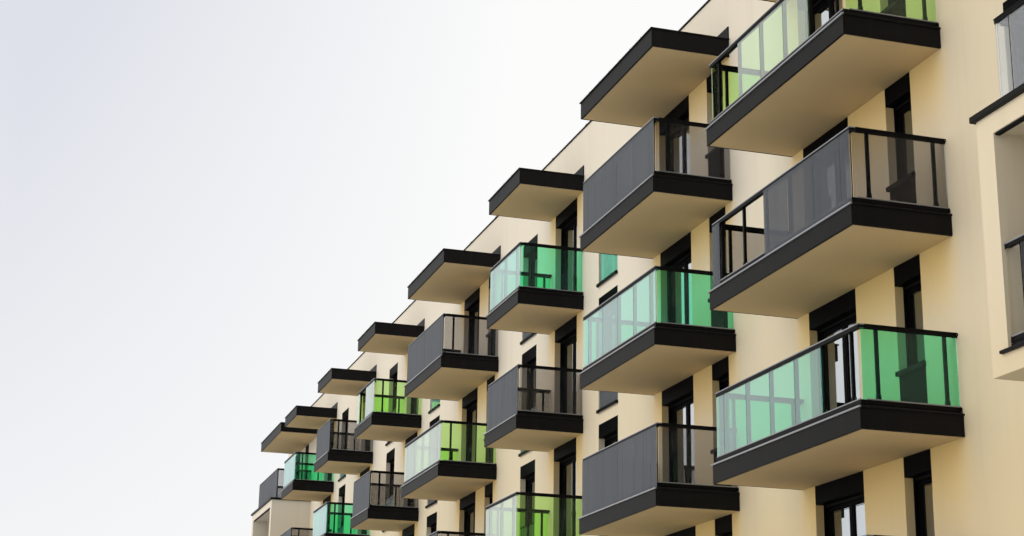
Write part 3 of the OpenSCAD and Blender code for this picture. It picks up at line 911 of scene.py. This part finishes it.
def covers():
    bare, dark = [], []
    for low, high in solids("front_handrails"):
        on_terrace = any(
            cap_low.x < high.x < cap_high.x + COVER_SIDE and 0 < high.z - cap_low.z < RAIL_REACH
            for cap_low, cap_high in solids("loggia_caps")
        )
        start = (low.x - BITE, low.y - COVER_SIDE, high.z - COVER_DROP)
        end = (high.x + BITE, high.y + COVER_SIDE, high.z + COVER_HIGH)
        (dark if on_terrace else bare).append((start, end))
    for low, high in solids("side_handrails"):
        start = (low.x - COVER_SIDE, low.y + COVER_SIDE, high.z - COVER_DROP)
        dark.append((start, (high.x + COVER_SIDE, high.y, high.z + COVER_HIGH)))
    return bare, dark


def beads(rails, edge, down, up):
    front_node, side_node = rails
    for low, high in solids(front_node):
        z = (low, high)[edge].z
        left, right = low.x + BEAD_SHORT, high.x - BEAD_SHORT
        yield (left, low.y - BEAD_OUT, z - down), (right, low.y + BEAD_DEEP, z + up)
    left_ends = {key(low.x, low.z) for low, high in solids(front_node)}
    for low, high in solids(side_node):
        z = (low, high)[edge].z
        start, end = high.x - BEAD_DEEP, high.x + BEAD_OUT
        if key(low.x, low.z) in left_ends:
            start, end = low.x - BEAD_OUT, low.x + BEAD_DEEP
        yield (start, low.y, z - down), (end, high.y, z + up)


# The bright front covers are a painted highlight, the dark side covers painted shade.
highlighted_covers, dark_and_shaded_covers = covers()
bars_piece("bare_handrail_covers", highlighted_covers, BARE_HIGHLIGHT, segments=2)
bars_piece("dark_handrail_covers", dark_and_shaded_covers, DARK, segments=2)
upper_beads = beads(("front_handrails", "side_handrails"), 0, BEAD_HIGH, BITE)
lower_beads = beads(("front_bottom_rails", "side_bottom_rails"), 1, BITE, BEAD_HIGH)
bars_piece("upper_glazing_beads", upper_beads, DARK, SLIM_BEVEL)
bars_piece("lower_glazing_beads", lower_beads, BARE_HIGHLIGHT, SLIM_BEVEL)

# %% [markdown]
# Each post stands in a shoe that is screwed to the bottom rail. The shoe is a slightly
# larger square with four small screws, two on each side that faces along the railing.
# Screws repeat a thousand times, so each has only eight sides.

# %% Post shoes and screws
SHOE_WIDER = 0.003
SHOE_HIGH = 0.045
POST_ROW = 0.1
SCREW_R = 0.004
SCREW_OUT = 0.002
SCREW_TAPER = 0.8
SCREW_HEIGHTS = (0.014, 0.032)
SCREW_SIDES = 8


def shoes():
    wider = Vector((SHOE_WIDER, SHOE_WIDER, 0))
    for low, high in solids("railing_posts"):
        yield low - wider, (high.x + SHOE_WIDER, high.y + SHOE_WIDER, low.z + SHOE_HIGH)


def cone(bm, place, sides, radius, top_radius, depth, turn=Matrix()):
    bmesh.ops.create_cone(
        bm,
        cap_ends=True,
        segments=sides,
        radius1=radius,
        radius2=top_radius,
        depth=depth,
        matrix=Matrix.Translation(place) @ turn,
    )


def screw(bm, place, axis, sides=SCREW_SIDES, radius=SCREW_R, out=SCREW_OUT):
    turn = axis.to_track_quat("Z", "Y").to_matrix().to_4x4()
    cone(bm, place, sides, radius, radius * SCREW_TAPER, out * 2, turn)


def make_screws():
    bm = bmesh.new()
    rail_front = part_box("railing_posts")[0].y
    for low, high in shoes():
        centre = (low + Vector(high)) / 2
        along = Vector((1, 0, 0)) if low.y < rail_front + POST_ROW else Vector((0, 1, 0))
        half = (high[0] - low.x) / 2
        for side in (-1, 1):
            for lift in SCREW_HEIGHTS:
                place = Vector((centre.x, centre.y, low.z + lift)) + along * side * half
                screw(bm, place, along * side)
    to_piece(bm, "shoe_screws", SCREWS, width=0)


bars_piece("post_shoes", shoes(), DARK)
make_screws()

# %% [markdown]
# At the wall each side rail ends on a small plate with a bolt on either side of the rail.

# %% Wall plates and bolts
PLATE_SIDE = 0.014
PLATE_THICK = 0.006
PLATE_LOWER = 0.002
BOLT_R = 0.005
BOLT_OUT = 0.003
BOLT_SIDES = 6
TO_STREET = Vector((0, -1, 0))


def wall_plates():
    for name in ("side_handrails", "side_bottom_rails"):
        for low, high in solids(name):
            yield (
                (low.x - PLATE_SIDE, high.y - PLATE_THICK, low.z + PLATE_LOWER),
                (high.x + PLATE_SIDE, high.y, high.z - PLATE_LOWER),
            )


def make_bolts():
    bm = bmesh.new()
    for low, high in wall_plates():
        middle = (low[2] + high[2]) / 2
        for x in (low[0] + PLATE_SIDE / 2, high[0] - PLATE_SIDE / 2):
            screw(bm, Vector((x, low[1], middle)), TO_STREET, BOLT_SIDES, BOLT_R, BOLT_OUT)
    to_piece(bm, "plate_bolts", SCREWS, width=0)


bars_piece("rail_wall_plates", wall_plates(), DARK, SLIM_BEVEL)
make_bolts()

# %% [markdown]
# The mesh is a sheet one millimetre thick outside each grey glass sheet. Along a front it
# hangs before the bottom rail as well, down to the drip edge. A front sheet is long in X
# and a side sheet is long in Y, which tells them apart.

# %% Mesh on the grey sheets
MESH_GAP = 0.0002
MESH_THICK = 0.001
MESH_WIDER = 0.0018
RAIL_COVERED = 0.052
RAIL_STEP = 0.007


def mesh_sheets():
    middles = [(low.x + high.x) / 2 for low, high in solids("balcony_slabs")]
    for low, high in solids("grey_glass"):
        near, far, bottom = MESH_GAP, MESH_GAP + MESH_THICK, low.z
        if high.x - low.x > high.y - low.y:
            if low.y < front_y:
                near, far, bottom = near + RAIL_STEP, far + RAIL_STEP, low.z - RAIL_COVERED
            start, end = out_from(low, high, near, far)
            yield (low.x - MESH_WIDER, start, bottom), (high.x + MESH_WIDER, end, high.z)
        else:
            nearest = min(middles, key=lambda middle: abs(middle - low.x))
            start, end = low.x - far, low.x - near
            if low.x > nearest:
                start, end = high.x + near, high.x + far
            yield (start, low.y, bottom), (end, high.y, high.z)


bars_piece("fine_mesh_sheets", mesh_sheets(), (fine_mesh, "grey_glass"), width=0.0003)

# %% [markdown]
# Balconies, loggias and roof terraces are paved with square tiles. A grid is thickened
# into a bed, and each of its top faces is inset and raised into a tile. What stays low
# between them is the joint.

# %% Tiles
TILE = 0.15
BED = 0.003
TILE_RISE = 0.008
JOINT = 0.0016
WALL_GAP = 0.004
MOSTLY = 0.9
# Each row: the solids that carry tiles, and how far the tiles stay from sides and front.
TILED = (
    ("balcony_slabs", 0.058, 0.055),
    ("loggia_floors", 0.18, 0.072),
    ("loggia_caps", 0.186, 0.186),
)


def make_tiles():
    bm = bmesh.new()
    wall = front_y - WALL_GAP
    for name, side, front in TILED:
        for low, high in solids(name):
            left, right, edge = low.x + side, high.x - side, low.y + front
            across, deep = round((right - left) / TILE), round((wall - edge) / TILE)
            grid = bmesh.ops.create_grid(bm, x_segments=across, y_segments=deep, size=0.5)
            bmesh.ops.scale(bm, vec=(right - left, wall - edge, 1), verts=grid["verts"])
            place = ((left + right) / 2, (edge + wall) / 2, high.z)
            bmesh.ops.translate(bm, vec=place, verts=grid["verts"])
    made = bmesh.ops.extrude_face_region(bm, geom=bm.faces[:])["geom"]
    raised = [item for item in made if isinstance(item, bmesh.types.BMVert)]
    bmesh.ops.translate(bm, vec=(0, 0, BED), verts=raised)
    bmesh.ops.recalc_face_normals(bm, faces=bm.faces)
    tops = [face for face in bm.faces if face.normal.z > MOSTLY]
    bmesh.ops.inset_individual(bm, faces=tops, thickness=JOINT, depth=TILE_RISE)
    print("tiles", len(tops))
    to_piece(bm, "balcony_tiles", (paving, "concrete"), width=0)


make_tiles()

# %% [markdown]
# A low metal threshold lies in front of each balcony door, over the joint between the
# tiles and the wall.

# %% Door thresholds
THRESHOLD_OUT = 0.014
THRESHOLD_HIGH = 0.015


def thresholds():
    decks = {round(high.z, 3) for low, high in solids("balcony_slabs") + solids("loggia_floors")}
    for low, high in solids("balcony_door_frames"):
        if round(low.z, 3) in decks:
            yield (low.x, front_y - THRESHOLD_OUT, low.z), (high.x, low.y, low.z + THRESHOLD_HIGH)


bars_piece("door_thresholds", thresholds(), FOLDED)

# %% [markdown]
# A canopy's top sheet is laid in bays, and the bays meet in standing seams that run down
# from the wall to the front edge. Each seam is a thin upright fold with a rounder top.

# %% Canopy seams
SEAM_BAY = 0.30
SEAM_HALF = 0.003
SEAM_HIGH = 0.014
SEAM_FRONT = 0.006
SEAM_BACK = 0.012


def seams():
    for low, high in solids("canopy_sheets"):
        bays = round((high.x - low.x) / SEAM_BAY)
        for number in range(1, bays):
            x = low.x + (high.x - low.x) * number / bays
            yield (
                (x - SEAM_HALF, low.y + SEAM_FRONT, high.z - BITE),
                (x + SEAM_HALF, high.y - SEAM_BACK, high.z + SEAM_HIGH),
            )


bars_piece("canopy_seams", seams(), FOLDED, segments=2)

# %% [markdown]
# A window is a fixed frame with a sash inside it. The frame is in the solids, so the sash
# is added: a ring round each pane, set back a little from the frame, with a thin rubber
# gasket at its inner edge. A ring is a bar whose front and back are inset and opened, and
# whose two openings are bridged.

# %% Sashes and gaskets
SASH_WIDE = 0.026
SASH_DEEP = 0.010
GASKET_WIDE = 0.004
GASKET_DEEP = 0.004


def ring(bm, low, high, width):
    corners = bar(bm, low, high)
    faces = {face for corner in corners for face in corner.link_faces}
    for face in faces:
        face.normal_update()
    broad = [face for face in faces if abs(face.normal.y) > MOSTLY]
    bmesh.ops.inset_individual(bm, faces=broad, thickness=width)
    rims = [edge for face in broad for edge in face.edges]
    bmesh.ops.delete(bm, geom=broad, context="FACES_ONLY")
    bmesh.ops.bridge_loops(bm, edges=rims)


def rings_piece(name, inset, width, depth, finish, rounding):
    bm = bmesh.new()
    for low, high in solids("front_window_panes") + solids("back_window_panes"):
        start, end = out_from(low, high, 0, depth)
        corner = (low.x + inset, start, low.z + inset)
        ring(bm, corner, (high.x - inset, end, high.z - inset), width)
    bmesh.ops.recalc_face_normals(bm, faces=bm.faces)
    to_piece(bm, name, finish, rounding)


GASKETS = (rubber, "frame_coating")
rings_piece("window_sashes", 0, SASH_WIDE, SASH_DEEP, FRAMES, BEVEL)
rings_piece("pane_gaskets", SASH_WIDE, GASKET_WIDE, GASKET_DEEP, GASKETS, SHEET_BEVEL)

# %% [markdown]
# Each opening has a roller shutter in the box at its head. The shutter is rolled up, so
# only its end bar shows under the box. Two rails guide it down the sides of the opening.

# %% Shutter end bars and guides
GUIDE_WIDE = 0.014
GUIDE_OUT = 0.030
END_BAR_NEAR = 0.009
END_BAR_FAR = 0.021
END_BAR_HIGH = 0.020


def shutter_parts():
    frames = [box for name in FRAME_NODES for box in solids(name)]
    heads = {(*key(low.x, high.z), low.y < 0): (low, high) for low, high in frames}
    guides, end_bars = [], []
    for low, high in solids("shutter_boxes"):
        frame_low, frame_high = heads[(*key(low.x, low.z), low.y < 0)]
        start, end = out_from(frame_low, frame_high, 0, GUIDE_OUT)
        for left in (low.x, high.x - GUIDE_WIDE):
            guides.append(((left, start, frame_low.z), (left + GUIDE_WIDE, end, low.z)))
        start, end = out_from(frame_low, frame_high, END_BAR_NEAR, END_BAR_FAR)
        corner = (low.x + GUIDE_WIDE, start, low.z - END_BAR_HIGH)
        end_bars.append((corner, (high.x - GUIDE_WIDE, end, low.z + BITE)))
    return guides, end_bars


guide_boxes, end_bar_boxes = shutter_parts()
bars_piece("shutter_guides", guide_boxes, FRAMES)
bars_piece("shutter_end_bars", end_bar_boxes, (edge_metal, "frame_coating"))

# %% [markdown]
# A window sill is a folded sheet. Its front edge is turned down into a drip nose, and its
# two ends are closed with upstand caps that lie on the wall.

# %% Sill noses and end caps
NOSE_IN = 0.002
NOSE_OUT = 0.004
NOSE_DROP = 0.012
CAP_WIDE = 0.006
CAP_HIGH = 0.004


def sill_parts():
    for low, high in solids("window_sills"):
        start, end = out_from(low, high, -NOSE_IN, NOSE_OUT)
        bottom = low.z - NOSE_DROP
        yield (low.x, start, bottom), (high.x, end, high.z + BITE)
        start, end = (start, front_y) if low.y < 0 else (back_y, end)
        for left in (low.x - CAP_WIDE, high.x):
            yield (left, start, bottom), (left + CAP_WIDE, end, high.z + CAP_HIGH)


bars_piece("sill_noses", sill_parts(), FOLDED, SLIM_BEVEL)

# %% [markdown]
# The parapet is capped with lengths of folded sheet, and a strap covers each joint. The
# copings' copies are made a hair smaller, so the straps lie on them without standing
# past the building's full size.

# %% Copings and joint straps
STRAP_PITCH = 1.25
STRAP_HALF = 0.025
STRAP_THICK = 0.002
OUTER = 0.001
COPINGS = ("front_coping", "back_coping", "end_copings")


def slim_coping(name):
    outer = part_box("front_coping")
    bm = merged_mesh(name)
    for vert in bm.verts:
        if vert.co.z > outer[1].z - OUTER:
            vert.co.z -= STRAP_THICK
        if abs(vert.co.x) > outer[1].x - OUTER:
            vert.co.x -= math.copysign(STRAP_THICK, vert.co.x)
    to_piece(bm, name + "_slim", FOLDED, FOLD_BEVEL, replaced=[name])


def straps():
    for low, high in (box for name in COPINGS for box in solids(name)):
        axis = 0 if high.x - low.x > high.y - low.y else 1
        joints = round((high[axis] - low[axis]) / STRAP_PITCH)
        for number in range(1, joints):
            middle = low[axis] + (high[axis] - low[axis]) * number / joints
            strap_low, strap_high = low.copy(), high.copy()
            strap_low[axis], strap_high[axis] = middle - STRAP_HALF, middle + STRAP_HALF
            strap_low.z -= STRAP_THICK
            if axis == 0:
                strap_low.y -= STRAP_THICK
                strap_high.y += STRAP_THICK
            yield strap_low, strap_high


for coping in COPINGS:
    slim_coping(coping)
bars_piece("coping_straps", straps(), FOLDED, SHEET_BEVEL)

# %% [markdown]
# The flat roof is sealed with sheets of bitumen membrane that lap over each other. Every
# other sheet lies on top of its neighbours, and along the parapet the membrane is turned
# up the wall.

# %% Roof membrane
SHEET_WIDE = 0.5
SHEET_THICK = 0.003
LAP = 0.04
UPSTAND = 0.15
UPSTAND_THICK = SHEET_THICK * 1.5


def membrane_sheets():
    count = round((roof_high.x - roof_low.x) / SHEET_WIDE)
    width = (roof_high.x - roof_low.x) / count
    for number in range(count):
        left = roof_low.x + width * number
        upper = number % 2
        bottom = roof_z + upper * SHEET_THICK
        start = max(left - upper * LAP, roof_low.x)
        end = min(left + width + upper * LAP, roof_high.x)
        yield (start, roof_low.y, bottom), (end, roof_high.y, bottom + SHEET_THICK)


def upstands():
    left, right = roof_low.x, roof_high.x
    front, back = roof_low.y, roof_high.y
    inner_front, inner_back = front + UPSTAND_THICK, back - UPSTAND_THICK
    for x, y, end_x, end_y in (
        (left, front, right, inner_front),
        (left, inner_back, right, back),
        (left, inner_front, left + UPSTAND_THICK, inner_back),
        (right - UPSTAND_THICK, inner_front, right, inner_back),
    ):
        yield (x, y, roof_z), (end_x, end_y, roof_z + UPSTAND)


bars_piece("roof_membrane", membrane_sheets(), ROOFING, width=0.001)
bars_piece("roof_upstands", upstands(), ROOFING, SLIM_BEVEL)

# %% [markdown]
# A slanted fillet carries the membrane from the roof into the upstand, so that it isn't
# creased, and four outlets with round strainers take the water.

# %% Fillets and outlets
FILLET = 0.04
FILLET_CUT = 0.9
NEAR = 1e-4
OUTLETS = 4
OUTLET_SIDES = 24
OUTLET_R = 0.11
OUTLET_HIGH = 0.006
OUTLET_SUNK = 0.002
OUTLET_TAPER = 0.96
STRAINER_R = 0.06
STRAINER_HIGH = 0.06
STRAINER_TAPER = 0.55


def fillet(bm, low, high, inner):
    corners = bar(bm, low, high)
    crest = []
    for edge in {edge for corner in corners for edge in corner.link_edges}:
        middle = (edge.verts[0].co + edge.verts[1].co) / 2
        if abs(middle.z - high[2]) < NEAR and abs(middle.y - inner) < NEAR:
            crest.append(edge)
    bevel(bm, crest, FILLET * FILLET_CUT)


def make_fillets():
    bm = bmesh.new()
    bottom, top = roof_z + SHEET_THICK, roof_z + SHEET_THICK + FILLET
    front, back = roof_low.y + SHEET_THICK, roof_high.y - SHEET_THICK
    fillet(bm, (roof_low.x, front, bottom), (roof_high.x, front + FILLET, top), front + FILLET)
    fillet(bm, (roof_low.x, back - FILLET, bottom), (roof_high.x, back, top), back - FILLET)
    to_piece(bm, "roof_fillets", ROOFING, width=0)


def make_outlets():
    bm = bmesh.new()
    base = roof_z + SHEET_THICK * 2
    for number in range(OUTLETS):
        x = roof_low.x + (roof_high.x - roof_low.x) * (number + 0.5) / OUTLETS
        for radius, taper, start, high in (
            (OUTLET_R, OUTLET_TAPER, base - OUTLET_SUNK, OUTLET_HIGH),
            (STRAINER_R, STRAINER_TAPER, base, STRAINER_HIGH),
        ):
            cone(bm, (x, 0, start + high / 2), OUTLET_SIDES, radius, radius * taper, high)
    to_piece(bm, "roof_outlets", DARK)


make_fillets()
make_outlets()

# %% [markdown]
# The entrances are on the far side. Each is a pair of glazed leaves in a dark frame, with
# a fixed light above them, steel kick plates, and two long pull handles. The solid stays
# behind the glass, and its dark door coat is painted shade of the hall.

# %% Entrance doors
LEAF_STILE = 0.045
LEAF_DEEP = 0.014
LEAF_GAP = 0.002
LEAF_CLEAR = 0.004
TRANSOM = 0.25
PANE_EDGE = LEAF_STILE - 0.004
PANE_NEAR = 0.003
PANE_FAR = 0.008
KICK_HIGH = 0.11
KICK_LIFT = 0.010
KICK_SIDE = 0.012
KICK_THICK = 0.002
PULL_R = 0.008
PULL_LONG = 0.5
PULL_HEIGHT = 0.55
PULL_ASIDE = 0.030
PULL_OUT = 0.035
PULL_SIDES = 16
MOUNT_SHARE = 0.38
MOUNT_BACK = 0.018
MOUNT_SLIMMER = 0.7
MOUNT_SIDES = 12


def door_openings():
    for low, high in solids("entrance_doors"):
        middle = (low.x + high.x) / 2
        head = high.z - TRANSOM
        for left, right in ((low.x, middle - LEAF_GAP), (middle + LEAF_GAP, high.x)):
            yield (left, low.z + LEAF_CLEAR), (right, head - LEAF_CLEAR), True
        yield (low.x, head), (high.x, high.z), False


def make_entrances():
    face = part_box("entrance_doors")[1].y
    front = face + LEAF_DEEP
    leaves, glass, plates = bmesh.new(), bmesh.new(), bmesh.new()
    for (left, bottom), (right, top), is_leaf in door_openings():
        ring(leaves, (left, face, bottom), (right, front, top), LEAF_STILE)
        pane_low = (left + PANE_EDGE, face + PANE_NEAR, bottom + PANE_EDGE)
        bar(glass, pane_low, (right - PANE_EDGE, face + PANE_FAR, top - PANE_EDGE))
        if is_leaf:
            low = bottom + KICK_LIFT
            plate_high = (right - KICK_SIDE, front + KICK_THICK, low + KICK_HIGH)
            bar(plates, (left + KICK_SIDE, front, low), plate_high)
    bmesh.ops.recalc_face_normals(leaves, faces=leaves.faces)
    to_piece(leaves, "entrance_leaves", (door_coat_and_hall_shade, "door_coating"))
    to_piece(glass, "entrance_glass", (window_glass, "window_glass"), SHEET_BEVEL)
    to_piece(plates, "kick_plates", (steel, "door_coating"), width=0.0006)


def make_pulls():
    bm = bmesh.new()
    for low, high in solids("entrance_doors"):
        middle = (low.x + high.x) / 2
        y, z = high.y + LEAF_DEEP + PULL_OUT, low.z + PULL_HEIGHT
        for x in (middle - PULL_ASIDE, middle + PULL_ASIDE):
            cone(bm, (x, y, z), PULL_SIDES, PULL_R, PULL_R, PULL_LONG)
            for lift in (-PULL_LONG * MOUNT_SHARE, PULL_LONG * MOUNT_SHARE):
                place = Vector((x, y - MOUNT_BACK, z + lift))
                screw(bm, place, TO_STREET, MOUNT_SIDES, PULL_R * MOUNT_SLIMMER, MOUNT_BACK)
    to_piece(bm, "door_pulls", (steel, "door_coating"), width=0.001)


make_entrances()
make_pulls()

# %% [markdown]
# Under the front edge of each loggia's roof runs the dark head rail of a blind, which the
# photograph shows as a thin black line over the opening.

# %% Loggia head rails
HEAD_RAIL_SHORT = 0.176
HEAD_RAIL_FRONT = 0.010
HEAD_RAIL_BACK = 0.045
HEAD_RAIL_HIGH = 0.014


def head_rails():
    for low, high in solids("loggia_roofs"):
        yield (
            (low.x + HEAD_RAIL_SHORT, low.y + HEAD_RAIL_FRONT, low.z - HEAD_RAIL_HIGH),
            (high.x - HEAD_RAIL_SHORT, low.y + HEAD_RAIL_BACK, low.z + BITE),
        )


bars_piece("loggia_head_rails", head_rails(), DARK)

# %% [markdown]
# Walls, slabs and panes keep the frame's own solids, which only need their finish.

# %% Finishes on the frame's own solids
def paint(material, *names):
    for name in names:
        mesh = nodes[name].data
        mesh.materials.clear()
        mesh.materials.append(material)


paint(stucco, "front_wall", "back_wall", "near_end_wall", "far_end_wall")
paint(stucco, "loggia_floors", "loggia_side_walls", "loggia_roofs")
paint(soffit_paint, "balcony_slabs", "canopy_slabs")
paint(concrete, "plinth_slab", "floor_slabs", "roof_slab")
paint(window_glass, "front_window_panes", "back_window_panes")
# The door solid's dark coat is painted shade of the hall behind the glass.
paint(door_coat_and_hall_shade, "entrance_doors")

# %% [markdown]
# Last, the triangles are counted.

# %% Measure and finish
triangles = 0
for thing in bpy.data.objects:
    if thing.type == "MESH" and thing.name != "floor":
        thing.data.calc_loop_triangles()
        triangles += len(thing.data.loop_triangles)
print("triangles", triangles)
